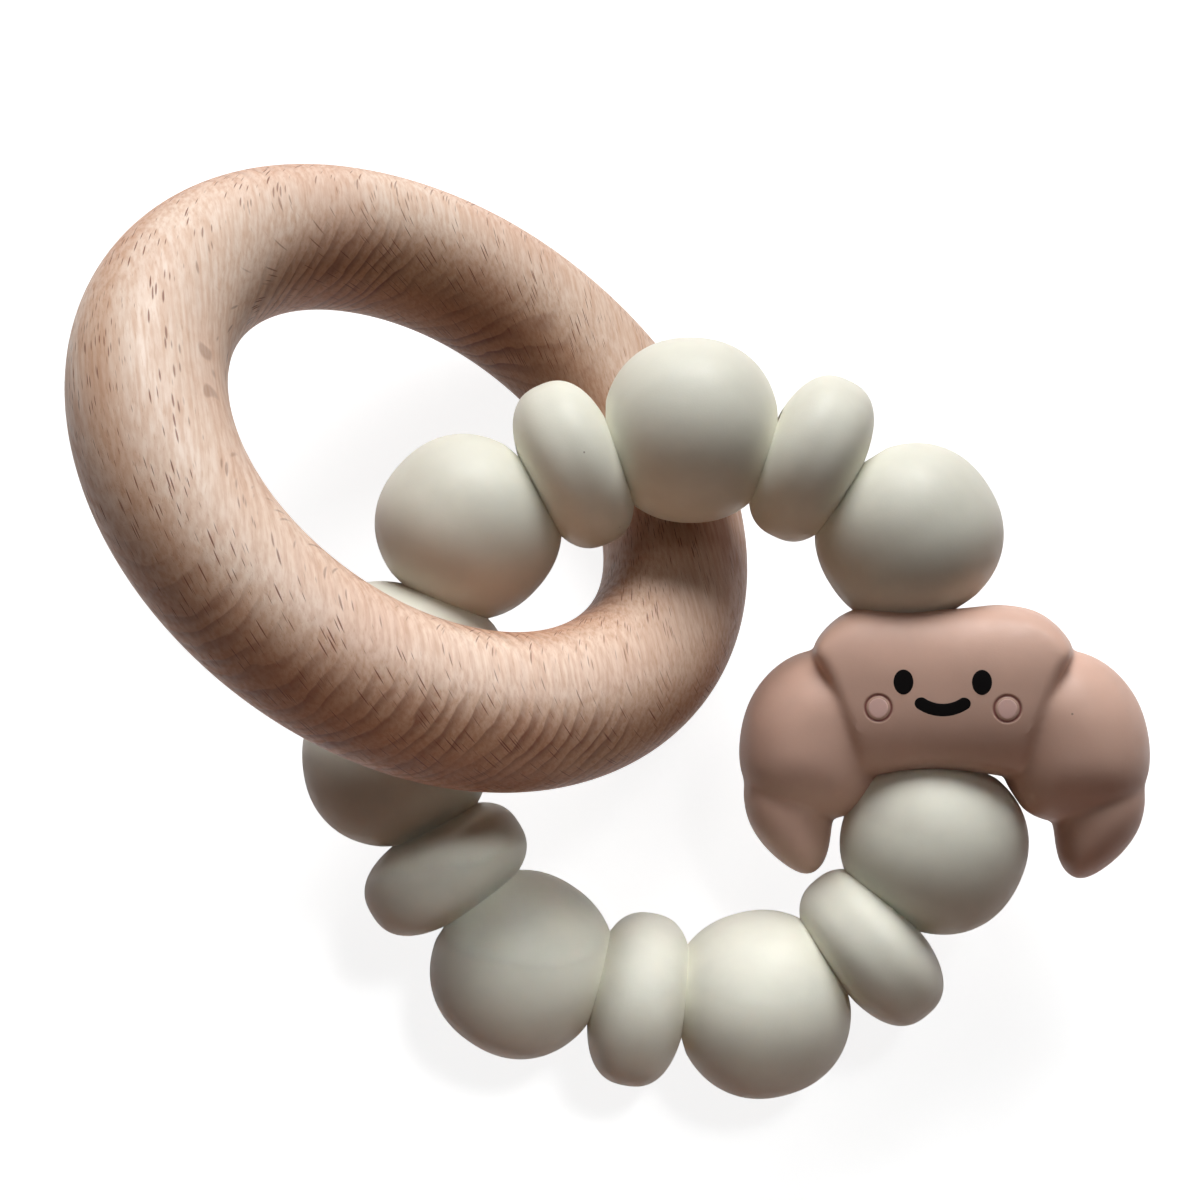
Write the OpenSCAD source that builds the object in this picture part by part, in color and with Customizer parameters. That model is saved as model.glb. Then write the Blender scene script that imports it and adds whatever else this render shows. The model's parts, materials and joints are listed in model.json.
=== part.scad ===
// Teether: a loop of silicone beads on a cord, threaded through a plain wooden ring.
// The loop lies in its own plane, tilted, with one side lifted by the ring under it.
// Loop frame: origin at the loop's centre, Z square to the loop, angles from X, anticlockwise.

/* [Round beads] */
// Diameter of a round bead
round_d = 14.6; // [13:0.1:16.5]
// Bore of a round bead at its waist
round_bore_d = 3.2; // [3:0.1:4]
// Width of the flared mouth at each end of a round bead's bore
round_mouth_d = 7.4; // [7:0.1:8]
// Length of the straight waist of the bore
round_waist = 2; // [1:0.1:3]

/* [Lentil beads] */
// Diameter of a lentil bead
lentil_d = 13.6; // [12:0.1:15]
// Thickness of a lentil bead near its rim
lentil_rim = 7.6; // [6:0.1:9]
// Rounding of a lentil bead's rim
lentil_edge_r = 2.8; // [2:0.1:3]
// Thickness of a lentil bead between the two round beads that nest in it
lentil_web = 4.2; // [3:0.1:6]
// Bore of a lentil bead
lentil_bore_d = 3.2; // [3:0.1:4]
// How far a lentil bead sits outside the straight line between its neighbours
lentil_out = 1.2; // [0.8:0.1:1.6]
// The same for the two lentil beads nearest the croissant, which are pushed further out
lentil_near_out = 2.1; // [1.2:0.1:2.2]

/* [Cord] */
// Diameter of the cord
cord_d = 1.4; // [1:0.1:1.6]
// Diameter of the knot that closes the cord, pulled inside a round bead
knot_d = 2.8; // [2:0.1:2.9]
// How sharply the cord turns into the croissant, higher is sharper
cord_turn = 45; // [30:1:60]
// How far the cord lies from the croissant's axis, away from the loop's centre
cord_lean_out = 0.8; // [0.5:0.1:0.9]

/* [Wooden ring] */
// Diameter of the ring's hole
ring_hole_d = 34.4; // [32:0.1:40]
// Thickness of the ring's round section
ring_tube_d = 12; // [9:0.1:13]
// How far the ring's centre lies outside the bead in its hole
ring_out = 6; // [4:0.1:7]
// How far the ring's centre lies along the cord from that bead
ring_along = 1.5; // [0:0.1:2]
// How far the ring's centre lies below the loop's plane
ring_down = 0.5; // [0:0.1:1]

/* [Croissant] */
// Thickness of the croissant from front to back
croissant_t = 14; // [12:0.1:16]
// Distance between the two round beads that the croissant parts
croissant_web = 10.1; // [9:0.1:12]
// How far the croissant sits outside the straight line between its neighbours
croissant_out = 1.1; // [0.6:0.1:1.6]
// How far the round bead under the croissant's foot is pulled in towards the loop's centre
foot_bead_in = 1.2; // [0:0.1:1.3]
// How far the croissant turns in the loop's plane, degrees
croissant_turn = 7; // [4:0.5:9]
// How far the croissant rests turned about the cord, degrees
croissant_roll = 8; // [0:0.5:15]
// Bore of the croissant
croissant_bore_d = 3.6; // [3.4:0.1:4]
// Width of the middle lobe at its top
middle_top_w = 19.4; // [18:0.1:21]
// Width of the middle lobe at its foot
middle_foot_w = 13; // [12:0.1:15]
// Height of the middle lobe's top above the croissant's centre
middle_top = 6.9; // [6:0.1:7.2]
// Depth of the middle lobe's foot below the croissant's centre
middle_foot = 6.6; // [6:0.1:7]
// Rounding of the middle lobe's top corners
middle_top_r = 4; // [3:0.1:4.4]
// Rounding of the middle lobe's foot corners
middle_foot_r = 2.5; // [2:0.1:3]
// Overall width of the croissant over its shoulders
croissant_w = 31.8; // [30:0.1:34]
// Thickness of a shoulder lobe beside the middle lobe
shoulder_root_d = 9.2; // [8:0.1:10]
// Thickness of a shoulder lobe at its outer end
shoulder_d = 10.4; // [9:0.1:11]
// Drop of the shoulder's outer end below the croissant's centre
shoulder_drop = 4.3; // [3.5:0.1:5]
// Width over the tip lobes
tips_w = 30.4; // [29:0.1:32]
// Thickness of a tip lobe where it leaves the shoulder
tip_root_d = 8.4; // [7:0.1:9]
// Thickness of a tip lobe at half its length
tip_middle_d = 7.2; // [6:0.1:8]
// Thickness of a tip lobe at its end
tip_d = 4.8; // [4:0.1:5.4]
// Depth of the tips' ends below the croissant's centre
tip_drop = 14.1; // [12:0.1:14.2]
// How far the tips' ends turn in towards each other
tip_hook = 1; // [0:0.1:2]

/* [Face] */
// Width of an eye
eye_w = 1.5; // [1:0.05:2]
// Height of an eye
eye_h = 1.9; // [1.6:0.05:2.4]
// Distance between the eyes
eye_pitch = 5.9; // [5:0.1:7]
// Height of the eyes above the croissant's centre
eye_up = 0.9; // [0:0.1:1.2]
// Radius of the smile
smile_r = 2.6; // [2:0.1:3.5]
// Stroke of the smile
smile_w = 0.85; // [0.6:0.05:1.1]
// Half of the smile's arc, degrees
smile_half = 40; // [30:1:55]
// Depth of the smile's lowest point below the croissant's centre
smile_drop = 1.7; // [1.6:0.1:2.6]
// Diameter of a cheek
cheek_d = 1.5; // [1:0.1:1.8]
// Diameter of the engraved circle round a cheek
cheek_ring_d = 2.2; // [2:0.1:2.6]
// Width of the engraved circle
cheek_ring_w = 0.2; // [0.1:0.05:0.3]
// Distance between the cheeks
cheek_pitch = 9.7; // [9:0.1:10.6]
// Depth of the cheeks below the croissant's centre
cheek_drop = 1.1; // [1:0.05:2]
// Thickness of the inlaid pieces of the face
inlay_t = 0.8; // [0.5:0.05:1.2]
// How far the inlaid pieces stand out of the croissant
inlay_proud = 0.1; // [0:0.05:0.3]

/* [Fits] */
// Gap between neighbouring beads
bead_gap = 0.15; // [0.1:0.05:0.3]
// Gap between the ring and the bead that it rests against
ring_gap = 0.3; // [0.2:0.05:0.6]
// Gap round the inlaid pieces of the face
inlay_gap = 0.03; // [0.02:0.01:0.08]

/* [Hidden] */
$fn = 64;
ROUNDS = 7;
LENTILS = 6;
CORD_RINGS = 80;
CORD_SIDES = 8;
LOBE_FN = 24;
CUT = 60;
NEAR_LENTILS = 2;
LOWEST_LENTIL = 3;
TOP_BEAD = 2;
FOOT_BEAD = 3;
KNOT_BEAD = 4;
FIRST_LOW_BEAD = 4;
RING_BEAD = 7;
RING_RESTS = [1, 6];
TILT_BOUNDS = [25, 85];
LEAN_BOUNDS = [0, 60];

round_names = [for (i = [1:ROUNDS]) str("round_bead_", i)];
lentil_names = [for (i = [1:LENTILS]) str("lentil_bead_", i)];
face_names = ["left_eye", "right_eye", "mouth", "left_cheek", "right_cheek"];

bone = [0.89, 0.87, 0.81];
pink_tan = [0.77, 0.62, 0.56];
cheek_pink = [0.74, 0.48, 0.44];
black = [0.1, 0.09, 0.09];
beech = [0.87, 0.74, 0.6];
cream = [0.92, 0.9, 0.84];

// Root of a rising function between two bounds
function solve(f, low, high, steps = 40) =
    let (middle = (low + high) / 2)
    steps == 0 ? middle
    : f(middle) > 0 ? solve(f, low, middle, steps - 1)
    : solve(f, middle, high, steps - 1);

function polar(angle, radius) = [radius * cos(angle), radius * sin(angle), 0];

// The round beads' centres lie on one circle, spaced by what sits between them
round_r = round_d / 2;
lentil_span = lentil_web + round_d + 2 * bead_gap;
croissant_span = croissant_web + round_d + 2 * bead_gap;
loop_r = solve(
    function(r) 180 - LENTILS * asin(lentil_span / 2 / r) - asin(croissant_span / 2 / r),
    croissant_span / 2 + 0.01, lentil_span + croissant_span);
lentil_angle_step = 2 * asin(lentil_span / 2 / loop_r);
croissant_angle_step = 360 - LENTILS * lentil_angle_step;

// Beads are numbered clockwise, and the lowest lentil bead is at -90 degrees
function round_angle(i) =
    -90 + (FIRST_LOW_BEAD + 0.5 - (i < FOOT_BEAD ? i + ROUNDS : i)) * lentil_angle_step;
function lentil_angle(i) =
    -90 + (LOWEST_LENTIL - (i < 2 ? i + LENTILS : i)) * lentil_angle_step;
function bead_r(i) = loop_r - (i == FOOT_BEAD ? foot_bead_in : 0);
function bead_at(i) = polar(round_angle(i), bead_r(i));
function lentil_off(i) = i <= NEAR_LENTILS ? lentil_near_out : lentil_out;
function lentil_r(i) = loop_r * cos(lentil_angle_step / 2) + lentil_off(i);
low_lentil_r = lentil_r(LOWEST_LENTIL);
croissant_angle = round_angle(FOOT_BEAD) + croissant_angle_step / 2;
croissant_at = polar(croissant_angle, loop_r * cos(croissant_angle_step / 2) + croissant_out);
croissant_heading = croissant_angle - croissant_turn;

// A round bead's bore halves the turn between the bores on either side of it
function round_heading(i) =
    i == TOP_BEAD ? (croissant_heading + lentil_angle(1) + 360) / 2
    : i == FOOT_BEAD ? (croissant_heading + lentil_angle(2)) / 2
    : round_angle(i);

// A point of the loop's plane seen from the croissant: [across, along its bore]
function from_croissant(p) =
    let (d = p - croissant_at)
    [d.x * cos(croissant_heading) + d.y * sin(croissant_heading),
     d.y * cos(croissant_heading) - d.x * sin(croissant_heading)];

// The two round beads beside a lentil bead, and a point seen from it: [off its axis, along its bore]
function neighbours(i) = i == 1 ? [1, 2] : [i + 1, i == LENTILS ? 1 : i + 2];
function from_lentil(i, p) =
    let (d = p - polar(lentil_angle(i), lentil_r(i)))
    [-d * polar(lentil_angle(i), 1), d * polar(lentil_angle(i) + 90, 1)];

// The cord: a circle through the beads, flattened where it runs through the croissant
cord_circle_r = (loop_r + low_lentil_r) / 2;
cord_line = croissant_at * polar(croissant_heading, 1) + cord_lean_out;
function cord_r(angle) =
    let (facing = max(0, cos(angle - croissant_heading)))
    pow(pow(cord_circle_r, -cord_turn) + pow(facing / cord_line, cord_turn), -1 / cord_turn);
cord_path = [for (i = [0:CORD_RINGS - 1]) polar(360 * i / CORD_RINGS, cord_r(360 * i / CORD_RINGS))];

// The ring lies round one bead and leans until it rests against the beads on either side
ring_tube_r = ring_tube_d / 2;
ring_r = ring_hole_d / 2 + ring_tube_r;
ring_heading = round_angle(RING_BEAD) - 90;
ring_at = polar(round_angle(RING_BEAD), loop_r + ring_out) + polar(ring_heading, ring_along)
          - [0, 0, ring_down];
function ring_point(tilt, turn) =
    ring_at + ring_r * [cos(turn) * cos(tilt) * cos(ring_heading) - sin(turn) * sin(ring_heading),
                        cos(turn) * cos(tilt) * sin(ring_heading) + sin(turn) * cos(ring_heading),
                        -cos(turn) * sin(tilt)];
function ring_room(tilt) =
    min([for (turn = [0:2:358]) for (i = RING_RESTS)
         norm(ring_point(tilt, turn) - bead_at(i))]) - ring_tube_r - round_r;
ring_tilt = solve(function(tilt) ring_room(tilt) - ring_gap, TILT_BOUNDS[0], TILT_BOUNDS[1]);
ring_axis = [sin(ring_tilt) * cos(ring_heading), sin(ring_tilt) * sin(ring_heading), cos(ring_tilt)];

// The loop leans about the line of its two low beads until the ring's low side is level with them
function up(lean) = [0, sin(lean), cos(lean)];
function ring_low(lean) =
    ring_at * up(lean) - ring_r * sqrt(1 - pow(ring_axis * up(lean), 2)) - ring_tube_r;
function beads_low(lean) =
    min(bead_at(FIRST_LOW_BEAD) * up(lean) - round_r,
        polar(lentil_angle(LOWEST_LENTIL), low_lentil_r) * up(lean) - lentil_d / 2);
lean = solve(function(a) ring_low(a) - beads_low(a), LEAN_BOUNDS[0], LEAN_BOUNDS[1]);
lift = -beads_low(lean);

// Extents of the whole, so that the origin is under its middle
shoulder_x = (croissant_w - shoulder_d) / 2;
shoulder_root_up = middle_top - middle_top_r - shoulder_root_d / 3;
tip_root_drop = shoulder_drop + tip_root_d / 4;
tip_x = (tips_w - tip_middle_d) / 2;
shoulder_end = croissant_at + polar(croissant_heading, shoulder_x * cos(croissant_roll))
               + polar(croissant_heading - 90, shoulder_drop);
high_x = shoulder_end.x + shoulder_d / 2;
low_x = ring_at.x - ring_r * sqrt(1 - pow(ring_axis.x, 2)) - ring_tube_r;
forward = [0, cos(lean), -sin(lean)];
high_y = ring_at * forward + ring_r * sqrt(1 - pow(ring_axis * forward, 2)) + ring_tube_r;
low_y = -low_lentil_r * cos(lean) - lentil_d / 2;
middle = [(low_x + high_x) / 2, (low_y + high_y) / 2];

module on_table()
    translate([-middle.x, -middle.y, lift]) rotate([lean, 0, 0]) children();

// Puts a bead at its place on the loop, with its bore along the cord
module on_cord(angle, radius, heading)
    on_table() translate(polar(angle, radius)) rotate([0, 0, heading]) rotate([-90, 0, 0]) children();

module on_croissant()
    on_table() translate(croissant_at) rotate([0, -croissant_roll, croissant_heading]) children();

// The space that a round bead takes up beside a turning neighbour whose axis misses its centre
module round_sweep(off_axis)
    rotate_extrude() intersection() {
        translate([off_axis, 0]) circle(r = round_r + bead_gap);
        translate([0, -CUT]) square([CUT, 2 * CUT]);
    }

module wooden_ring()
    color(beech) on_table() translate(ring_at) rotate([0, ring_tilt, ring_heading])
        rotate_extrude() translate([ring_r, 0]) circle(r = ring_tube_r);

module cord() {
    function side(i) = cord_path[(i + CORD_RINGS) % CORD_RINGS];
    function ring_out_dir(i) =
        let (t = side(i + 1) - side(i - 1))
        [t.y, -t.x, 0] / norm(t);
    points = [for (i = [0:CORD_RINGS - 1]) for (k = [0:CORD_SIDES - 1])
        side(i) + cord_d / 2 * (cos(360 * k / CORD_SIDES) * ring_out_dir(i)
                                + sin(360 * k / CORD_SIDES) * [0, 0, 1])];
    function at(i, k) = (i % CORD_RINGS) * CORD_SIDES + k % CORD_SIDES;
    faces = [for (i = [0:CORD_RINGS - 1]) for (k = [0:CORD_SIDES - 1]) for (half = [0, 1])
        half == 0 ? [at(i, k), at(i, k + 1), at(i + 1, k + 1)] : [at(i, k), at(i + 1, k + 1), at(i + 1, k)]];
    color(cream) on_table() polyhedron(points, faces);
}

module cord_knot()
    color(cream) on_cord(round_angle(KNOT_BEAD), bead_r(KNOT_BEAD), round_heading(KNOT_BEAD))
        sphere(d = knot_d);

module round_bead(i) {
    mouth_z = sqrt(pow(round_r, 2) - pow(round_mouth_d / 2, 2));
    color(bone) on_cord(round_angle(i), bead_r(i), round_heading(i)) difference() {
        sphere(r = round_r);
        cylinder(d = round_bore_d, h = 2 * round_d, center = true);
        for (end = [0, 180])
            rotate([end, 0, 0]) translate([0, 0, round_waist / 2])
                cylinder(d1 = round_bore_d,
                         d2 = round_bore_d + (round_mouth_d - round_bore_d) * (round_r - round_waist / 2)
                              / (mouth_z - round_waist / 2),
                         h = round_r - round_waist / 2);
    }
}

module lentil_bead(i) {
    edge_at = [lentil_d / 2 - lentil_edge_r, lentil_rim / 2 - lentil_edge_r];
    color(bone) on_cord(lentil_angle(i), lentil_r(i), lentil_angle(i)) rotate_extrude() difference() {
        union() {
            for (side = [-1, 1])
                translate([edge_at.x, side * edge_at.y]) circle(r = lentil_edge_r);
            translate([0, -lentil_rim / 2]) square([edge_at.x, lentil_rim]);
            translate([0, -edge_at.y]) square([lentil_d / 2, 2 * edge_at.y]);
        }
        for (n = neighbours(i))
            translate(from_lentil(i, bead_at(n))) circle(r = round_r + bead_gap);
        translate([-CUT, -CUT]) square([CUT + lentil_bore_d / 2, 2 * CUT]);
    }
}

// Lobes of the croissant, side is -1 for the left of its face and 1 for the right
module middle_lobe()
    hull() for (side = [-1, 1]) for (face = [-1, 1]) {
        translate([side * (middle_top_w / 2 - middle_top_r), middle_top - middle_top_r,
                   face * (croissant_t / 2 - middle_top_r)])
            sphere(r = middle_top_r, $fn = LOBE_FN);
        translate([side * (middle_foot_w / 2 - middle_foot_r), middle_foot_r - middle_foot,
                   face * (croissant_t / 2 - middle_foot_r)])
            sphere(r = middle_foot_r, $fn = LOBE_FN);
    }

module shoulder_lobe(side)
    hull() {
        translate([side * (middle_top_w - middle_top_r) / 2, shoulder_root_up, 0])
            sphere(d = shoulder_root_d, $fn = LOBE_FN);
        translate([side * shoulder_x, -shoulder_drop, 0]) sphere(d = shoulder_d, $fn = LOBE_FN);
    }

module tip_lobe(side)
    hull() {
        translate([side * (tips_w - tip_root_d) / 2, -tip_root_drop, 0])
            sphere(d = tip_root_d, $fn = LOBE_FN);
        translate([side * tip_x, (tip_d - tip_drop - shoulder_drop) / 2, 0])
            sphere(d = tip_middle_d, $fn = LOBE_FN);
        translate([side * (tip_x - tip_hook), tip_d / 2 - tip_drop, 0]) sphere(d = tip_d, $fn = LOBE_FN);
    }

module croissant() {
    above = from_croissant(bead_at(TOP_BEAD));
    below = from_croissant(bead_at(FOOT_BEAD));
    color(pink_tan) on_croissant() difference() {
        union() {
            middle_lobe();
            for (side = [-1, 1]) {
                shoulder_lobe(side);
                tip_lobe(side);
            }
        }
        for (seat = [above, below])
            translate([0, seat.y, 0]) rotate([-90, 0, 0]) round_sweep(abs(seat.x));
        rotate([-90, 0, 0]) cylinder(d = croissant_bore_d, h = 2 * croissant_w, center = true);
        for (side = [-1, 1]) {
            eye(side, inlay_gap);
            cheek(side, inlay_gap);
            cheek_circle(side);
        }
        smile(inlay_gap);
    }
}

// Pieces of the face, each let into a pocket that is wider all round by the gap
module inlay() translate([0, 0, croissant_t / 2 + inlay_proud - inlay_t]) children();

module eye(side, gap = 0)
    inlay() translate([side * eye_pitch / 2, eye_up, 0]) {
        for (end = [-1, 1])
            translate([0, end * (eye_h - eye_w) / 2, 0]) cylinder(d = eye_w + 2 * gap, h = inlay_t);
        translate([-eye_w / 2 - gap, (eye_w - eye_h) / 2, 0])
            cube([eye_w + 2 * gap, eye_h - eye_w, inlay_t]);
    }

module smile(gap = 0)
    inlay() translate([0, smile_r + smile_w / 2 - smile_drop, 0]) {
        rotate([0, 0, -90 - smile_half]) rotate_extrude(angle = 2 * smile_half)
            translate([smile_r - smile_w / 2 - gap, 0]) square([smile_w + 2 * gap, inlay_t]);
        for (end = [-1, 1])
            translate(polar(-90 + end * smile_half, smile_r)) cylinder(d = smile_w + 2 * gap, h = inlay_t);
    }

module cheek(side, gap = 0)
    inlay() translate([side * cheek_pitch / 2, -cheek_drop, 0])
        cylinder(d = cheek_d + 2 * gap, h = inlay_t);

module cheek_circle(side)
    inlay() translate([side * cheek_pitch / 2, -cheek_drop, inlay_t / 2]) difference() {
        cylinder(d = cheek_ring_d + cheek_ring_w, h = inlay_t);
        cylinder(d = cheek_ring_d - cheek_ring_w, h = inlay_t);
    }

module left_eye() color(black) on_croissant() eye(-1);
module right_eye() color(black) on_croissant() eye(1);
module mouth() color(black) on_croissant() smile();
module left_cheek() color(cheek_pink) on_croissant() cheek(-1);
module right_cheek() color(cheek_pink) on_croissant() cheek(1);

wooden_ring();
cord();
cord_knot();
croissant();
left_eye();
right_eye();
mouth();
left_cheek();
right_cheek();
for (i = [1:ROUNDS])
    round_bead(i);
for (i = [1:LENTILS])
    lentil_bead(i);
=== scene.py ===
"""Looks of a teether: silicone beads and a croissant bead on a cord, through a beech ring.

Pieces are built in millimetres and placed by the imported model's joints and solids. Sizes are in
millimetres, angles in degrees and lamps in watts. Colours are 8-bit sRGB values that are turned to
linear light, and tints are linear factors.
"""

import json
import math

import bmesh
import bpy
import numpy as np
import openvdb
from mathutils import Matrix, Vector


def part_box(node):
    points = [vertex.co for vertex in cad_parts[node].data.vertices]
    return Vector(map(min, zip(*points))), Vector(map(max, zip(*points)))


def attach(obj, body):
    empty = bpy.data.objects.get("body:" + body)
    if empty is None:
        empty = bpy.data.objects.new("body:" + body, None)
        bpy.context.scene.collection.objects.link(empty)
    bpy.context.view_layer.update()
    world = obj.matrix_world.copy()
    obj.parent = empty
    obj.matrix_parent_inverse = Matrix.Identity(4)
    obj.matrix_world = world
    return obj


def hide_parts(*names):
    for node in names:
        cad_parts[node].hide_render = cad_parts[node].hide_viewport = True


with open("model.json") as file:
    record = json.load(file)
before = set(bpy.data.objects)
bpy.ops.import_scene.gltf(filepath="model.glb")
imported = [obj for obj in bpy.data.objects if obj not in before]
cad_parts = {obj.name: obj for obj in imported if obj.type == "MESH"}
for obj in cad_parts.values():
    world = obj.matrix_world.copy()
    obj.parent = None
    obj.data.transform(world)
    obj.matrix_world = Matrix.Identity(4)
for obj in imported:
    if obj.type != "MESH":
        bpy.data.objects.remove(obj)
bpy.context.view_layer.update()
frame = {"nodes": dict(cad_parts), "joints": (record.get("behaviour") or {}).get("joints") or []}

MM = 0.001
TINY = 1e-6
ROUNDS = 7
LENTILS = 6
LOOP_BEADS = (1, 4, 6)
KNOT_BEAD = "round_bead_4"
SEATED_BEADS = ("round_bead_2", "round_bead_3")

# Round beads
ROUND_R = 7.3
ROUND_HALF = 6.95
ROUND_POWER = 2.2
ROUND_BORE_R = 1.9
BEAD_LIP = 0.3
WALL_STEPS = 24

# Lentil beads
LENTIL_R = 6.8
LENTIL_HALF = 3.85
LENTIL_POWER = 2.55
LENTIL_BORE_R = 1.6
DIMPLE_R = 2.6
DIMPLE_DEPTH = 0.8
DIMPLE_STEPS = 8

# Cord and its knot
CORD_R = 0.7
CORD_STOPS = 60
CORD_STEPS = 6
STRANDS = 3
STRAND_DEPTH = 0.1
LAY_LENGTH = 5.0
KNOT_R = 0.85
KNOT_FLATNESS = 0.7
KNOT_CORD_R = 0.42
KNOT_STEPS = 160

# Wooden ring, cut from a board at a distance from the tree's middle
RING_ROUND_STEPS = 320
RING_TUBE_STEPS = 112
PITH_AWAY = 62.0
PITH_TURN = 28.0
FIBRE_TURN = 12.0

# Its unevenness: weight, then waves and phase round the ring, then waves and phase round its section
RING_WAVE = 0.07
RING_WAVES = ((1.0, 3, 0.7, 2, 0.4), (0.6, 7, 2.1, 1, -1.3))

# Croissant, seen on its face: X across, Y up its bore, Z to the front
VOXEL = 0.2
GRID_LOW = (-17.5, -15.5, -8.0)
GRID_HIGH = (17.5, 8.5, 8.0)
BAND = 2.0
CREASE = 0.35
MIDDLE_FRONT = 7.0
MIDDLE_BULGE = 0.7
MIDDLE_HALF_HEIGHT = 7.05
MIDDLE_UP = 0.1
MIDDLE_POWER = 2.7
MIDDLE_EDGE = 2.4
MIDDLE_PILLOW_FRONT = 9.0
MIDDLE_ROUNDING = 1.0
LEAST_SLOPE = 0.3
SHOULDER_FRONT = 6.5
SHOULDER_EDGE = 5.6
TIP_FRONT = 4.7
TIP_EDGE = 3.9
CROISSANT_BORE_R = 1.8
SEAT_R = 6.7
SEAT_EDGE = 0.3
LOBE_SOFTENINGS = 30
MIDDLE_OUTLINE = [
    (0.0, 6.95), (4.6, 6.9), (7.4, 6.2), (9.3, 4.7), (10.1, 3.0), (9.3, 0.9), (8.2, -2.0),
    (7.1, -4.7), (6.6, -6.4), (5.8, -7.0), (3.0, -6.5), (0.0, -6.3),
]
MIDDLE_HALF_WIDTH = max(x for x, y in MIDDLE_OUTLINE)
SHOULDER_OUTLINE = [
    (4.0, 3.3), (9.2, 3.3), (11.6, 2.8), (13.7, 1.3), (15.3, -1.1), (16.0, -4.2), (15.75, -7.0),
    (14.3, -9.0), (11.8, -10.1), (9.2, -10.3), (6.5, -9.5), (4.8, -6.8), (3.6, -1.0),
]
TIP_OUTLINE = [
    (9.0, -6.0), (13.0, -5.6), (15.4, -6.6), (15.65, -8.8), (15.1, -10.9), (13.5, -13.0),
    (11.2, -14.6), (9.7, -14.5), (8.9, -12.8), (8.6, -10.3), (8.1, -8.2),
]

# Face
EYES = ("left_eye", "right_eye")
CHEEKS = ("left_cheek", "right_cheek")
SMILE_HALF_W = 0.48
CHEEK_RING_R = 0.99
CHEEK_RING_HALF_W = 0.09
CHEEK_RING_DEPTH = 0.1
POCKET_DEPTH = 0.14
POCKET_EDGE = 0.05
INLAY_PROUD = 0.02
INLAY_DEPTH = 0.5
INLAY_LEAST_HALF_W = 1e-3
ROLL_ACROSS = 6
ROLL_ALONG = 10
FACE_LOW = (-6.6, -3.0)
FACE_HIGH = (6.6, 2.8)
FACE_BACK = 4.0
FACE_CUTS = 3
SKIN_SMOOTHINGS = 2
SMOOTHING = 0.5

# The middle part of a noise, where most of its values lie
NOISE_BAND = (0.3, 0.7)

# Silicone
BONE_COLOUR = (229, 228, 214)
PINK_COLOUR = (218, 180, 162)
# Painted shade: a dark reddish colour in the circles engraved round the cheeks
GROOVE_SHADE_COLOUR = (128, 72, 66)
CHEEK_COLOUR = (252, 208, 198)
BLACK_COLOUR = (7, 5, 5)
CLOUD_SCALE = 0.22
CLOUD_TONES = (0.955, 1.03)
SPECK_COLOUR = (96, 76, 62)
SPECK_SCALE = 0.3
SPECK_EDGE = (0.018, 0.034)
SPECK_BARE_SHARE = 0.72
GLOSS_SCALE = 0.9
GLOSS_CHANGE = 0.05
SHEEN_ROUGHNESS = 0.45
DEEP_LIGHT = 0.15
DEEP_LIGHT_REACH = (1.0, 0.75, 0.55)
GRAIN_SCALE = 6.0
DENT_SCALE = 0.5
GRAIN_DEPTH = 0.006

# Beech: densities are per millimetre of depth, side and fibre in the board
BEECH_PALE = (243, 222, 205)
BEECH_DEEP = (233, 205, 186)
PATCH_DENSITY = (0.09, 0.09, 0.05)
PATCH_BAND = (0.35, 0.65)
# Flat-sawn faces darker: partly the wood's own look, partly painted shade on the ring's outer side
FLAT_SAWN_AND_SHADE_TINT = (0.84, 0.74, 0.67, 1.0)
FLAT_SAWN_SHADE_BAND = (0.3, 0.65)
FLAT_SAWN_SHADE_PATCH = 0.5
# Painted shade: the ring made darker towards its right side, where the board lies nearer the tree's
# middle
SIDE_SHADE_TINT = (0.68, 0.58, 0.51, 1.0)
SIDE_SHADE_DEPTHS = (40.0, 63.0)
GROWTH = 1.15
GROWTH_COLOUR = (132, 78, 52)
GROWTH_RISE = (0.25, 0.88)
GROWTH_FALL = (0.88, 1.0)
GROWTH_WANDER = 3.0
WANDER_DENSITY = (0.3, 0.14, 0.07)
LINE_ENDS = (0.3, 0.9)
LINE_STRENGTH = (0.05, 0.85)
FADE_DENSITY = (0.16, 0.1, 0.08)
FADE_BAND = (0.36, 0.62)
FADE_STRENGTH = (0.15, 1.0)
RAY_COLOUR = (124, 72, 48)
RAY_DENSITY = (0.3, 8.0, 0.42)
RAY_SIZE = 0.34
RAY_EDGE = (-0.12, 0.06)
RAY_STRENGTH = 0.9
RAY_QUARTERS = (0.7, 1.0)
RAY_ON_QUARTERS = 0.4
PORE_TINT = (0.93, 0.88, 0.84, 1.0)
PORE_DENSITY = (9.0, 9.0, 0.6)
PORE_BAND = (0.56, 0.7)
STREAK_TINT = (0.87, 0.78, 0.72, 1.0)
STREAK_DENSITY = (3.0, 3.0, 0.12)
MOTTLE_TINT = (0.92, 0.87, 0.83, 1.0)
MOTTLE_DENSITY = (2.0, 5.0, 0.8)
STREAK_BAND = (0.35, 0.7)
# End grain darker: partly the wood's own colour, partly painted shade
END_GRAIN_AND_SHADE_TINT = (0.64, 0.46, 0.35, 1.0)
END_GRAIN_SHADE_BAND = (0.25, 0.9)
WOOD_ROUGHNESS = (0.42, 0.58)
WOOD_SHINE = 0.35
WOOD_SINK = -0.5
WOOD_DEPTH = 0.012

# Cord fibre
CORD_PALE = (238, 233, 220)
CORD_DEEP = (206, 198, 180)
FIBRE_SCALE = 6.0
FIBRE_DEPTH = 0.03
CORD_ROUGHNESS = 0.6

# Camera, from the loop's centre: right, up and away in the image
CAMERA_AT = (-6.71, 9.63, 181.5)
LENS = 69.0
SENSOR = 36.0
CLIP_START = 10.0

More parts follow.
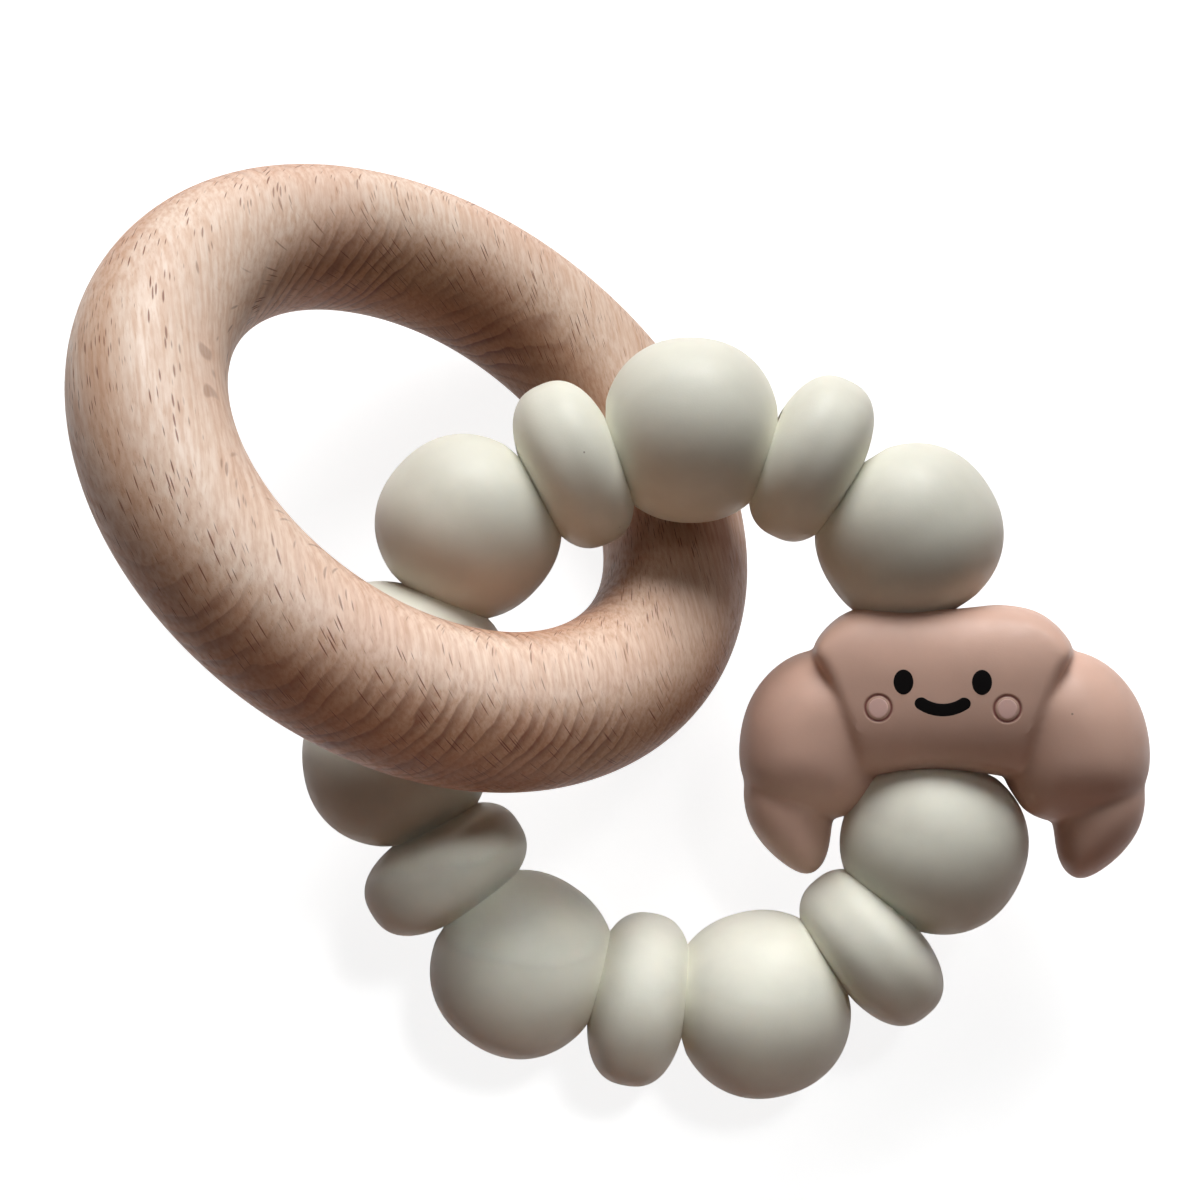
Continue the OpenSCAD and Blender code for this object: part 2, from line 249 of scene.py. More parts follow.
# Light, placed and aimed as the camera is. The sky and the floor's glow are strengths
MIDDLE = (0.0, 0.0, 0.0)
KEY_AT = (60.0, 870.0, 258.0)
KEY_SIZE = 600.0
KEY_POWER = 9.8
LOW_AT = (60.0, 90.0, 195.0)
LOW_AIM = (-24.0, -48.0, 0.0)
LOW_SIZE = 60.0
LOW_SPREAD = 22.0
LOW_POWER = 0.006
BOUNCE_AT = (0.0, -500.0, 120.0)
BOUNCE_SIZE = 500.0
BOUNCE_SPREAD = 70.0
BOUNCE_POWER = 0.075
BOUNCE_TINT = (1.0, 0.4, 0.14)
WHITE = (1.0, 1.0, 1.0, 1.0)
SKY = 0.02
FLOOR_HALF = 5000.0
FLOOR_GREY = (0.45, 0.45, 0.45, 1.0)
FLOOR_GLOW = 0.88
FLOOR_BOUNCE = (132, 72, 38)


def srgb(red, green, blue):
    """Linear colour from 8-bit sRGB values."""
    def linear(value):
        value /= 255
        return value / 12.92 if value <= 0.04045 else ((value + 0.055) / 1.055) ** 2.4
    return (linear(red), linear(green), linear(blue), 1.0)


def axes(origin, along, towards):
    """A frame at origin with Y along one direction and Z as near the other as it can be."""
    y = along.normalized()
    x = y.cross(towards).normalized()
    z = x.cross(y)
    return Matrix.Translation(origin) @ Matrix((x, y, z)).transposed().to_4x4()


def add_object(name, data):
    """A new object in the scene."""
    made = bpy.data.objects.new(name, data)
    bpy.context.scene.collection.objects.link(made)
    return made


def add_mesh(name, points, faces, place):
    """A smooth-shaded mesh object from points in millimetres in a placed frame."""
    rows = np.asarray(points, float) * MM
    turn = np.array(place.to_3x3())
    moved = rows @ turn.T + np.array(place.translation)
    mesh = bpy.data.meshes.new(name)
    mesh.from_pydata(moved.tolist(), [], [tuple(face) for face in faces])
    skin = bmesh.new()
    skin.from_mesh(mesh)
    bmesh.ops.recalc_face_normals(skin, faces=skin.faces)
    skin.to_mesh(mesh)
    skin.free()
    mesh.polygons.foreach_set("use_smooth", [True] * len(mesh.polygons))
    mesh.update()
    return add_object(name, mesh)


def grid_faces(rows, columns, closed_rows, closed_columns):
    """Quads over a grid of points, row by row, closed on itself where asked."""
    faces = []
    for i in range(rows if closed_rows else rows - 1):
        for j in range(columns if closed_columns else columns - 1):
            below, beside = (i + 1) % rows, (j + 1) % columns
            faces.append((i * columns + j, i * columns + beside,
                          below * columns + beside, below * columns + j))
    return faces


# Places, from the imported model

JOINTS = {joint["name"]: joint for joint in frame["joints"]}


def joint_at(name):
    """Place and axis of a joint, in metres."""
    return Vector(JOINTS[name]["pos_m"]), Vector(JOINTS[name]["axis"])


def circle_through(a, b, c):
    """Centre of the circle through three points, and the upward normal of its plane."""
    first, second = b - a, c - a
    square = first.cross(second)
    off = square.cross(first) * second.length_squared + second.cross(square) * first.length_squared
    normal = square.normalized() if square.z > 0 else -square.normalized()
    return a + off / (2 * square.length_squared), normal


LOOP_CENTRE, LOOP_NORMAL = circle_through(*(joint_at(f"round_bead_{i}_turn")[0] for i in LOOP_BEADS))


def bead_place(name):
    """A bead's frame: Y along its bore, Z up out of the loop."""
    at, axis = joint_at(f"{name}_turn")
    return axes(at, axis, LOOP_NORMAL)


CROISSANT_AT, CROISSANT_AXIS = joint_at("croissant_turn")
VIEW = axes(LOOP_CENTRE, CROISSANT_AXIS, LOOP_NORMAL).to_3x3()
IMAGE_RIGHT, IMAGE_UP = VIEW.col[0], VIEW.col[1]


def box_middle(node):
    """Middle of a node's box, in metres."""
    low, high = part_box(node)
    return (low + high) / 2


# The croissant's frame looks out along its face, which rests turned a little about the cord
CROISSANT_PLACE = axes(CROISSANT_AT, CROISSANT_AXIS,
                       (box_middle("left_eye") + box_middle("right_eye")) / 2 - CROISSANT_AT)


def on_face(node):
    """Middle and half size of a face piece's solid across the croissant's face, in millimetres."""
    inverse = CROISSANT_PLACE.inverted()
    points = np.array([inverse @ v.co for v in frame["nodes"][node].data.vertices])[:, :2] / MM
    return (points.max(0) + points.min(0)) / 2, (points.max(0) - points.min(0)) / 2


def smile_arc():
    """Radius, half angle and centre of the arc along the smile's middle, from its solid."""
    middle, half = on_face("mouth")
    reach = half[0] - SMILE_HALF_W
    rise = 2 * (half[1] - SMILE_HALF_W)
    radius = (reach ** 2 + rise ** 2) / (2 * rise)
    centre = (middle[0], middle[1] - half[1] + SMILE_HALF_W + radius)
    return radius, math.asin(reach / radius), centre


SMILE_R, SMILE_HALF_ANGLE, SMILE_CENTRE = smile_arc()


# Beads, ring and cord

def revolve(name, profile, place, steps=112):
    """A solid turned about its frame's Y, from a closed ring of (radius, along) points."""
    points = []
    for k in range(steps):
        turn = 2 * math.pi * k / steps
        points += [(r * math.cos(turn), a, r * math.sin(turn)) for r, a in profile]
    return add_mesh(name, points, grid_faces(steps, len(profile), True, True), place)


def bore_profile(bore, lip, height, steps=6):
    """The rounded mouths and the straight wall of a bore, from its top mouth to its bottom one."""
    top = [(bore + lip * (1 - math.sin(s)), height - lip * (1 - math.cos(s)))
           for s in np.linspace(0, math.pi / 2, steps)[1:]]
    wall = [(bore, a) for a in np.linspace(top[-1][1], -top[-1][1], WALL_STEPS)[1:-1]]
    bottom = [(r, -a) for r, a in reversed(top)]
    return top + wall + bottom


def plump_arc(radius, half, fullness, mouth, steps=72):
    """Half a plump bead's outline, from its bottom mouth round its rim to its top mouth."""
    power = 2 / fullness
    start = math.asin((mouth / radius) ** (1 / power))
    arc = []
    for t in np.linspace(math.pi - start, start, steps):
        along = math.copysign(abs(math.cos(t)) ** power, math.cos(t))
        arc.append((radius * math.sin(t) ** power, half * along))
    return arc


def round_profile():
    """A ball that its neighbours press a little flat."""
    arc = plump_arc(ROUND_R, ROUND_HALF, ROUND_POWER, ROUND_BORE_R + BEAD_LIP)
    return arc + bore_profile(ROUND_BORE_R, BEAD_LIP, arc[-1][1])


def lentil_profile():
    """A thick lens with a fully rounded rim and a shallow dimple round its bore."""
    rim = plump_arc(LENTIL_R, LENTIL_HALF, LENTIL_POWER, DIMPLE_R)
    mouth = LENTIL_BORE_R + BEAD_LIP
    edge = rim[-1][1]
    dimple = []
    for s in np.linspace(0, 1, DIMPLE_STEPS)[1:]:
        dip = DIMPLE_DEPTH * (1 - math.cos(math.pi * s)) / 2
        dimple.append((DIMPLE_R + (mouth - DIMPLE_R) * s, edge - dip))
    under = [(r, -a) for r, a in reversed(dimple)]
    return under + rim + dimple + bore_profile(LENTIL_BORE_R, BEAD_LIP, edge - DIMPLE_DEPTH)


def ring_frame():
    """Place and radii of the wooden ring, from its solid: Y is its axis, X the image's side."""
    points = np.array([v.co for v in frame["nodes"]["wooden_ring"].data.vertices])
    directions = np.linalg.eigh(np.cov((points - points.mean(0)).T))[1]
    axis = Vector(directions[:, 0])
    axis = axis if axis.dot(LOOP_NORMAL) > 0 else -axis
    at = Vector((points.max(0) + points.min(0)) / 2)
    along = (points - np.array(at)) @ np.array(axis)
    across = np.linalg.norm(points - np.array(at) - np.outer(along, axis), axis=1)
    tube_r = along.max() / MM
    return axes(at, axis, axis.cross(IMAGE_RIGHT)), across.max() / MM - tube_r, tube_r


def ring_wave(turn, tube_turn):
    """Unevenness of the sanded ring at a place, within -1 and 1."""
    wave = 0
    for weight, waves, phase, tube_waves, tube_phase in RING_WAVES:
        wave += weight * math.sin(waves * turn + phase) * math.cos(tube_waves * tube_turn + tube_phase)
    return wave / sum(row[0] for row in RING_WAVES)


def wooden_ring():
    """A sanded ring whose points keep their place in the board and the way they were cut.

    A place in the board is its depth from the tree's middle, its side and its length of fibre.
    """
    place, ring_r, tube_r = ring_frame()
    points, wood, ends, quarters = [], [], [], []
    fibre_turn = math.radians(FIBRE_TURN)
    pith_turn = math.radians(PITH_TURN)
    for i in range(RING_ROUND_STEPS):
        turn = 2 * math.pi * i / RING_ROUND_STEPS
        for k in range(RING_TUBE_STEPS):
            tube_turn = 2 * math.pi * k / RING_TUBE_STEPS
            tube = tube_r - RING_WAVE * (1 - ring_wave(turn, tube_turn)) / 2
            out = ring_r + tube * math.cos(tube_turn)
            x, y, z = out * math.cos(turn), tube * math.sin(tube_turn), out * math.sin(turn)
            points.append((x, y, z))
            across = x * math.cos(fibre_turn) - z * math.sin(fibre_turn)
            fibre = x * math.sin(fibre_turn) + z * math.cos(fibre_turn)
            depth = PITH_AWAY + across * math.cos(pith_turn) + y * math.sin(pith_turn)
            side = y * math.cos(pith_turn) - across * math.sin(pith_turn)
            wood.append((math.hypot(depth, side), math.atan2(side, depth) * PITH_AWAY, fibre))
            ends.append(abs(math.cos(tube_turn) * math.sin(turn + fibre_turn)))
            outward = math.cos(tube_turn) * math.cos(turn + fibre_turn)
            upward = math.sin(tube_turn)
            quarters.append(abs(upward * math.cos(pith_turn) - outward * math.sin(pith_turn)))
    faces = grid_faces(RING_ROUND_STEPS, RING_TUBE_STEPS, True, True)
    piece = add_mesh("beech_ring", points, faces, place)
    board = piece.data.attributes.new("board", "FLOAT_VECTOR", "POINT")
    board.data.foreach_set("vector", np.array(wood, float).ravel())
    for name, values in (("end_grain", ends), ("quartered", quarters)):
        piece.data.attributes.new(name, "FLOAT", "POINT").data.foreach_set("value", values)
    return piece


def closed_path(stops, steps):
    """Points of a smooth closed curve through the stops."""
    path = []
    count = len(stops)
    for i in range(count):
        before, start, end, after = (stops[(i + k) % count] for k in (-1, 0, 1, 2))
        for t in np.linspace(0, 1, steps, endpoint=False):
            path.append(0.5 * (2 * start + (end - before) * t
                               + (2 * before - 5 * start + 4 * end - after) * t ** 2
                               + (3 * start - before - 3 * end + after) * t ** 3))
    return path


def laid_tube(name, path, radius, sides=24, strands=0, turns=0):
    """A closed tube along a path, with twisted strands where asked."""
    points = []
    count = len(path)
    for i, at in enumerate(path):
        ahead = (path[(i + 1) % count] - path[i - 1]).normalized()
        side = ahead.cross(LOOP_NORMAL).normalized()
        over = side.cross(ahead)
        for k in range(sides):
            turn = 2 * math.pi * k / sides
            twist = math.pi * turns * i / count
            lobe = abs(math.cos(strands / 2 * turn - twist)) if strands else 1
            r = radius * (1 - STRAND_DEPTH * (1 - lobe))
            points.append(at + (side * math.cos(turn) + over * math.sin(turn)) * r)
    return add_mesh(name, points, grid_faces(count, sides, True, True), Matrix.Identity(4))


def cord_stops():
    """Places along the middle of the cord's solid, at even turns round the loop."""
    points = np.array([v.co for v in frame["nodes"]["cord"].data.vertices])
    away = points - np.array(LOOP_CENTRE)
    heading = np.arctan2(away @ np.array(IMAGE_UP), away @ np.array(IMAGE_RIGHT))
    stops = []
    for turn in np.linspace(-math.pi, math.pi, CORD_STOPS, endpoint=False):
        off = np.abs((heading - turn + math.pi) % (2 * math.pi) - math.pi)
        stops.append(Vector(points[off < math.pi / CORD_STOPS].mean(0)) / MM)
    return stops


def cord():
    """The cord's closed loop, with a whole number of turns of its strands."""
    path = closed_path(cord_stops(), CORD_STEPS)
    length = sum((path[i] - path[i - 1]).length for i in range(len(path)))
    turns = STRANDS * round(length / LAY_LENGTH / STRANDS)
    return laid_tube("cord_loop", path, CORD_R, strands=STRANDS, turns=turns)


def cord_knot():
    """A small overhand knot inside one round bead."""
    low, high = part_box("cord_knot")
    centre = (low + high) / 2 / MM
    bore = bead_place(KNOT_BEAD).to_3x3().col[1]
    place = axes(Vector((0, 0, 0)), bore, LOOP_NORMAL).to_3x3()
    path = []
    for i in range(KNOT_STEPS):
        t = 2 * math.pi * i / KNOT_STEPS
        r = KNOT_R * (2 + math.cos(3 * t)) / 3
        along = KNOT_R * math.sin(3 * t) * KNOT_FLATNESS
        path.append(centre + place @ Vector((r * math.cos(2 * t), along, r * math.sin(2 * t))))
    return laid_tube("cord_knot_tied", path, KNOT_CORD_R, sides=14)


# Croissant, from distances in its own frame

def smooth_outline(stops, steps=8):
    """A closed polygon through the stops of an outline."""
    path = closed_path([Vector((x, y, 0)) for x, y in stops], steps)
    return np.array([tuple(point) for point in path])[:, :2]


def outline_distance(polygon, x, y):
    """Distance from each grid point to a polygon, negative inside."""
    best = np.full(x.shape, np.inf)
    inside = np.zeros(x.shape, bool)
    for (ax, ay), (bx, by) in zip(polygon, np.roll(polygon, -1, axis=0)):
        dx, dy = bx - ax, by - ay
        along = np.clip(((x - ax) * dx + (y - ay) * dy) / (dx * dx + dy * dy), 0, 1)
        best = np.minimum(best, np.hypot(x - ax - along * dx, y - ay - along * dy))
        crosses = (ay > y) != (by > y)
        if dy:
            inside ^= crosses & (x < ax + (y - ay) * dx / dy)
    return np.where(inside, -best, best)


def soften(field, passes):
    """A field blurred over the grid, so that a lobe has no ridge along its middle."""
    for _ in range(passes):
        for axis in (0, 1):
            padded = np.pad(field, [(1, 1) if k == axis else (0, 0) for k in (0, 1)], mode="edge")
            ahead = np.take(padded, range(2, padded.shape[axis]), axis)
            behind = np.take(padded, range(padded.shape[axis] - 2), axis)
            field = (ahead + 2 * field + behind) / 4
    return field


def pillow(flat, z, edge, front):
    """Distance to a cushion with this flat outline, whose edge rolls over within this width."""
    u = np.maximum(0, 1 + flat / edge)[:, :, None]
    w = z[None, None, :] / front
    size = np.sqrt(u ** 2 + w ** 2) + TINY
    slope = np.sqrt((u / edge) ** 2 + (w / front) ** 2) / size
    return (size - 1) / np.maximum(slope, 1 / max(edge, front))


def front_height(x):
    """Height of the middle lobe's crown above the croissant's middle plane."""
    return MIDDLE_FRONT - MIDDLE_BULGE * (x / MIDDLE_HALF_WIDTH) ** 2


def face_height(x, y):
    """Height of the face's surface above the croissant's middle plane."""
    v = np.abs(y - MIDDLE_UP) / MIDDLE_HALF_HEIGHT
    return front_height(x) * np.maximum(0, 1 - v ** MIDDLE_POWER) ** (1 / MIDDLE_POWER)


def barrel(x, y, z):
    """Distance to the middle lobe's cross-section, the same along its width but for the bulge."""
    v = (np.abs(y - MIDDLE_UP) / MIDDLE_HALF_HEIGHT)[:, :, None]
    w = np.abs(z)[None, None, :] / front_height(x)[:, :, None]
    size = (v ** MIDDLE_POWER + w ** MIDDLE_POWER) ** (1 / MIDDLE_POWER) + TINY
    lean = MIDDLE_POWER - 1
    slope = np.sqrt((v / size) ** (2 * lean) + (w / size) ** (2 * lean))
    return (size - 1) * MIDDLE_FRONT / np.maximum(slope, LEAST_SLOPE)


def join(a, b, soft):
    """Smooth union of two distances."""
    h = np.clip(0.5 + 0.5 * (b - a) / soft, 0, 1)
    return b + (a - b) * h - soft * h * (1 - h)


def meet(a, b, soft):
    """Smooth overlap of two distances."""
    return -join(-a, -b, soft)


def cut(a, b, soft):
    """Distance a with b taken out of it."""
    return meet(a, -b, soft)


def seats():
    """Places of the two beads beside the croissant, along its bore in millimetres."""
    inverse = CROISSANT_PLACE.inverted()
    return [(inverse @ joint_at(f"{bead}_turn")[0]).y / MM for bead in SEATED_BEADS]


def croissant_body():
    """The five lobes of the croissant as one skin, with its bore and the seats of its two beads."""
    x, y, z = (np.arange(low, high, VOXEL) for low, high in zip(GRID_LOW, GRID_HIGH))
    gx, gy = np.meshgrid(x, y, indexing="ij")
    mirrored = [(-px, py) for px, py in reversed(MIDDLE_OUTLINE[1:-1])]
    middle = outline_distance(smooth_outline(MIDDLE_OUTLINE + mirrored), gx, gy)
    ends = pillow(middle, z, MIDDLE_EDGE, MIDDLE_PILLOW_FRONT)
    shape = meet(ends, barrel(gx, gy, z), MIDDLE_ROUNDING)
    for stops, edge, high in ((SHOULDER_OUTLINE, SHOULDER_EDGE, SHOULDER_FRONT),
                              (TIP_OUTLINE, TIP_EDGE, TIP_FRONT)):
        flat = soften(outline_distance(smooth_outline(stops), np.abs(gx), gy), LOBE_SOFTENINGS)
        shape = join(shape, pillow(flat, z, edge, high), CREASE)
    off_bore = np.sqrt(gx[:, :, None] ** 2 + z[None, None, :] ** 2)
    for seat in seats():
        shape = cut(shape, np.hypot(off_bore, gy[:, :, None] - seat) - SEAT_R, SEAT_EDGE)
    shape = cut(shape, off_bore - CROISSANT_BORE_R, SEAT_EDGE)
    grid = openvdb.FloatGrid(BAND)
    grid.copyFromArray(np.clip(shape, -BAND, BAND).astype(np.float32))
    points, quads = grid.convertToQuads(isovalue=0.0)
    return points * VOXEL + np.array(GRID_LOW), quads


def smile_rows(steps=64, across=12):
    """Rows of points over the smile's stroke with its round ends."""
    straight = SMILE_HALF_ANGLE * SMILE_R
    rows = []
    for t in np.linspace(-1, 1, steps):
        s = (straight + SMILE_HALF_W) * math.sin(t * math.pi / 2)
        over = max(0, abs(s) - straight) / SMILE_HALF_W
        wide = SMILE_HALF_W * math.sqrt(max(0.0, 1 - over ** 2)) + INLAY_LEAST_HALF_W
        angle = -math.pi / 2 + s / SMILE_R
        rows.append([(SMILE_CENTRE[0] + (SMILE_R + wide * u) * math.cos(angle),
                      SMILE_CENTRE[1] + (SMILE_R + wide * u) * math.sin(angle))
                     for u in np.linspace(-1, 1, across)])
    return rows


def oval_rows(node, steps=48, across=20):
    """Rows of points over an oval piece of the face."""
    centre, half = on_face(node)
    rows = []
    for t in np.linspace(-1, 1, steps):
        angle = t * math.pi / 2
        wide = half[0] * math.cos(angle) + INLAY_LEAST_HALF_W
        rows.append([(centre[0] + wide * u, centre[1] + half[1] * math.sin(angle))
                     for u in np.linspace(-1, 1, across)])
    return rows


def inlay(name, rows):
    """A closed pad over a grid of face points, with a softly rolled edge, let into the face."""
    count, across = len(rows), len(rows[0])
    flat = np.array(rows)
    u = np.linspace(-1, 1, across)[None, :]
    t = np.linspace(-1, 1, count)[:, None]
    roll = np.sqrt(np.maximum(0, np.minimum(1 - u ** ROLL_ACROSS, 1 - t ** ROLL_ALONG)))
    height = face_height(flat[:, :, 0], flat[:, :, 1])
    top = np.dstack([flat, height + INLAY_PROUD * roll])
    base = np.dstack([flat, height - INLAY_DEPTH])
    points = np.vstack([top.reshape(-1, 3), base.reshape(-1, 3)])
    size = count * across
    faces = grid_faces(count, across, False, False)
    faces += [tuple(size + i for i in reversed(face)) for face in faces]
    rim = list(range(across))
    rim += [i * across + across - 1 for i in range(1, count)]
    rim += [(count - 1) * across + j for j in range(across - 2, -1, -1)]
    rim += [i * across for i in range(count - 2, 0, -1)]
    for a, b in zip(rim, rim[1:] + rim[:1]):
        faces.append((b, a, size + a, size + b))
    return add_mesh(name, points, faces, CROISSANT_PLACE)


def step_down(distance, width):
    """1 well inside an outline and 0 well outside it, in a soft step."""
    t = np.clip(0.5 - distance / (2 * width), 0, 1)
    return t * t * (3 - 2 * t)


def cheek_groove(x, y):
    """1 in the circles engraved round the cheeks, 0 elsewhere."""
    found = np.zeros_like(x)
    for node in CHEEKS:
        centre = on_face(node)[0]
        off = np.abs(np.hypot(x - centre[0], y - centre[1]) - CHEEK_RING_R)
        found = np.maximum(found, step_down(off - CHEEK_RING_HALF_W, CHEEK_RING_HALF_W))
    return found


def face_depth(x, y):
    """How deep the face is cut: pockets for its pieces, and the circles round the cheeks."""
    def pocket(distance):
        return step_down(distance + 2 * POCKET_EDGE, POCKET_EDGE)

    inside = np.zeros_like(x)
    for node in EYES + CHEEKS:
        centre, half = on_face(node)
        size = np.hypot((x - centre[0]) / half[0], (y - centre[1]) / half[1])
        inside = np.maximum(inside, pocket((size - 1) * half.mean()))
    angle = np.arctan2(x - SMILE_CENTRE[0], SMILE_CENTRE[1] - y)
    near = np.clip(angle, -SMILE_HALF_ANGLE, SMILE_HALF_ANGLE)
    off = np.hypot(x - SMILE_CENTRE[0] - SMILE_R * np.sin(near),
                   y - SMILE_CENTRE[1] + SMILE_R * np.cos(near))
    inside = np.maximum(inside, pocket(off - SMILE_HALF_W))
    return POCKET_DEPTH * inside + CHEEK_RING_DEPTH * cheek_groove(x, y)


def in_face(points):
    """Which points lie on the front, within the box that the face is cut in."""
    inside = (points[:, :2] > FACE_LOW).all(1) & (points[:, :2] < FACE_HIGH).all(1)
    return inside & (points[:, 2] > FACE_BACK)


def croissant():
    """The croissant's skin, made finer over the face, with the face cut into it."""
    points, quads = croissant_body()
    skin = bmesh.new()
    corners = [skin.verts.new(point) for point in points]
    for quad in quads:
        skin.faces.new([corners[i] for i in quad])
    for _ in range(SKIN_SMOOTHINGS):
        bmesh.ops.smooth_vert(skin, verts=skin.verts, factor=SMOOTHING,
                              use_axis_x=True, use_axis_y=True, use_axis_z=True)
    inside = in_face(np.array([v.co for v in skin.verts]))
    skin.verts.index_update()
    edges = [e for e in skin.edges if inside[e.verts[0].index] and inside[e.verts[1].index]]
    bmesh.ops.subdivide_edges(skin, edges=edges, cuts=FACE_CUTS, use_grid_fill=True)
    points = np.array([v.co for v in skin.verts])
    inside = in_face(points)
    x, y = points[inside, 0], points[inside, 1]
    points[inside, 2] = face_height(x, y) - face_depth(x, y)
    skin.verts.index_update()
    faces = [[v.index for v in face.verts] for face in skin.faces]
    skin.free()
    piece = add_mesh("croissant_bead", points, faces, CROISSANT_PLACE)
    # Where the painted shade of the cheeks' engraved circles goes
    groove_shade = np.where(inside, cheek_groove(points[:, 0], points[:, 1]), 0.0)
    piece.data.attributes.new("groove_shade", "FLOAT", "POINT").data.foreach_set("value", groove_shade)
    return piece


# Materials

def add_node(tree, kind, inputs=None, **settings):
    """A node with its settings, and with each input a value or another node's output."""
    made = tree.nodes.new(f"ShaderNode{kind}")
    for name, value in settings.items():
        setattr(made, name, value)
    for name, value in (inputs or {}).items():
        if isinstance(value, bpy.types.NodeSocket):
            tree.links.new(value, made.inputs[name])
        else:
            made.inputs[name].default_value = value
    return made


def combine(tree, operation, first, second=0.0):
    """Two values put together by a math operation."""
    return add_node(tree, "Math", {0: first, 1: second}, operation=operation).outputs[0]


def spread(tree, value, band, to=(0.0, 1.0)):
    """A value moved from a band to another range in a soft step."""
    ends = {"Value": value, "From Min": band[0], "From Max": band[1], "To Min": to[0], "To Max": to[1]}
    return add_node(tree, "MapRange", ends, interpolation_type="SMOOTHSTEP").outputs["Result"]


def stretched(tree, vector, density):
    """A vector times a density along each of its axes."""
    return add_node(tree, "VectorMath", {0: vector, 1: density}, operation="MULTIPLY").outputs[0]


def in_millimetres(tree):
    """A point's place in its object, in millimetres."""
    return stretched(tree, add_node(tree, "TexCoord").outputs["Object"], (1 / MM,) * 3)


def noise(tree, vector, scale=1.0, detail=2.0):
    """A cloudy value about 0.5."""
    return add_node(tree, "TexNoise", {"Vector": vector, "Scale": scale, "Detail": detail}).outputs[0]


def cells(tree, vector, scale=1.0):
    """Distance from the middle of a cell, and a random number for each cell."""
    made = add_node(tree, "TexVoronoi", {"Vector": vector, "Scale": scale}).outputs
    number = add_node(tree, "SeparateColor", {"Color": made["Color"]}).outputs[0]
    return made["Distance"], number


def attribute(tree, name):
    """The outputs of a value that the mesh keeps at its points."""
    return add_node(tree, "Attribute", attribute_name=name).outputs


def mix(tree, factor, first, second, blend="MIX"):
    """The second colour over the first, as far as the factor says."""
    inputs = {0: factor, 6: first, 7: second}
    return add_node(tree, "Mix", inputs, data_type="RGBA", blend_type=blend).outputs[2]


def bump(tree, shader, height, depth):
    """Raises the surface by a height times this many millimetres."""
    raised = add_node(tree, "Bump", {"Height": height, "Distance": depth * MM})
    tree.links.new(raised.outputs["Normal"], shader.inputs["Normal"])


def material(name):
    """A new material, its nodes and its shader."""
    made = bpy.data.materials.new(name)
    made.use_nodes = True
    return made, made.node_tree, made.node_tree.nodes["Principled BSDF"]


def silicone(name, colour, roughness=0.5, shine=0.35, sheen=0.08, speck=0.6, groove_shade=None):
    """Matte moulded silicone: faintly cloudy, a few tiny specks, a fine soft-touch grain, and painted
    shade in grooves where asked.
    """
    made, tree, shader = material(name)
    place = in_millimetres(tree)
    cloud = spread(tree, noise(tree, place, CLOUD_SCALE, 3), NOISE_BAND, CLOUD_TONES)
    tone = mix(tree, 1.0, srgb(*colour), cloud, "MULTIPLY")
    distance, number = cells(tree, place, SPECK_SCALE)
    spot = spread(tree, distance, SPECK_EDGE, (speck, 0.0))
    chosen = combine(tree, "GREATER_THAN", number, SPECK_BARE_SHARE)
    tone = mix(tree, combine(tree, "MULTIPLY", spot, chosen), tone, srgb(*SPECK_COLOUR))
    # Painted shade in the circles engraved round the cheeks
    if groove_shade:
        tone = mix(tree, attribute(tree, "groove_shade")["Fac"], tone, srgb(*groove_shade))
    tree.links.new(tone, shader.inputs["Base Color"])
    glosses = (roughness - GLOSS_CHANGE, roughness + GLOSS_CHANGE)
    gloss = spread(tree, noise(tree, place, GLOSS_SCALE), NOISE_BAND, glosses)
    tree.links.new(gloss, shader.inputs["Roughness"])
    shader.inputs["Specular IOR Level"].default_value = shine
    shader.inputs["Sheen Weight"].default_value = sheen
    shader.inputs["Sheen Roughness"].default_value = SHEEN_ROUGHNESS
    shader.inputs["Subsurface Weight"].default_value = DEEP_LIGHT
    shader.inputs["Subsurface Radius"].default_value = DEEP_LIGHT_REACH
    shader.inputs["Subsurface Scale"].default_value = MM
    grain = combine(tree, "ADD", noise(tree, place, GRAIN_SCALE), noise(tree, place, DENT_SCALE))
    bump(tree, shader, grain, GRAIN_DEPTH)
    return made


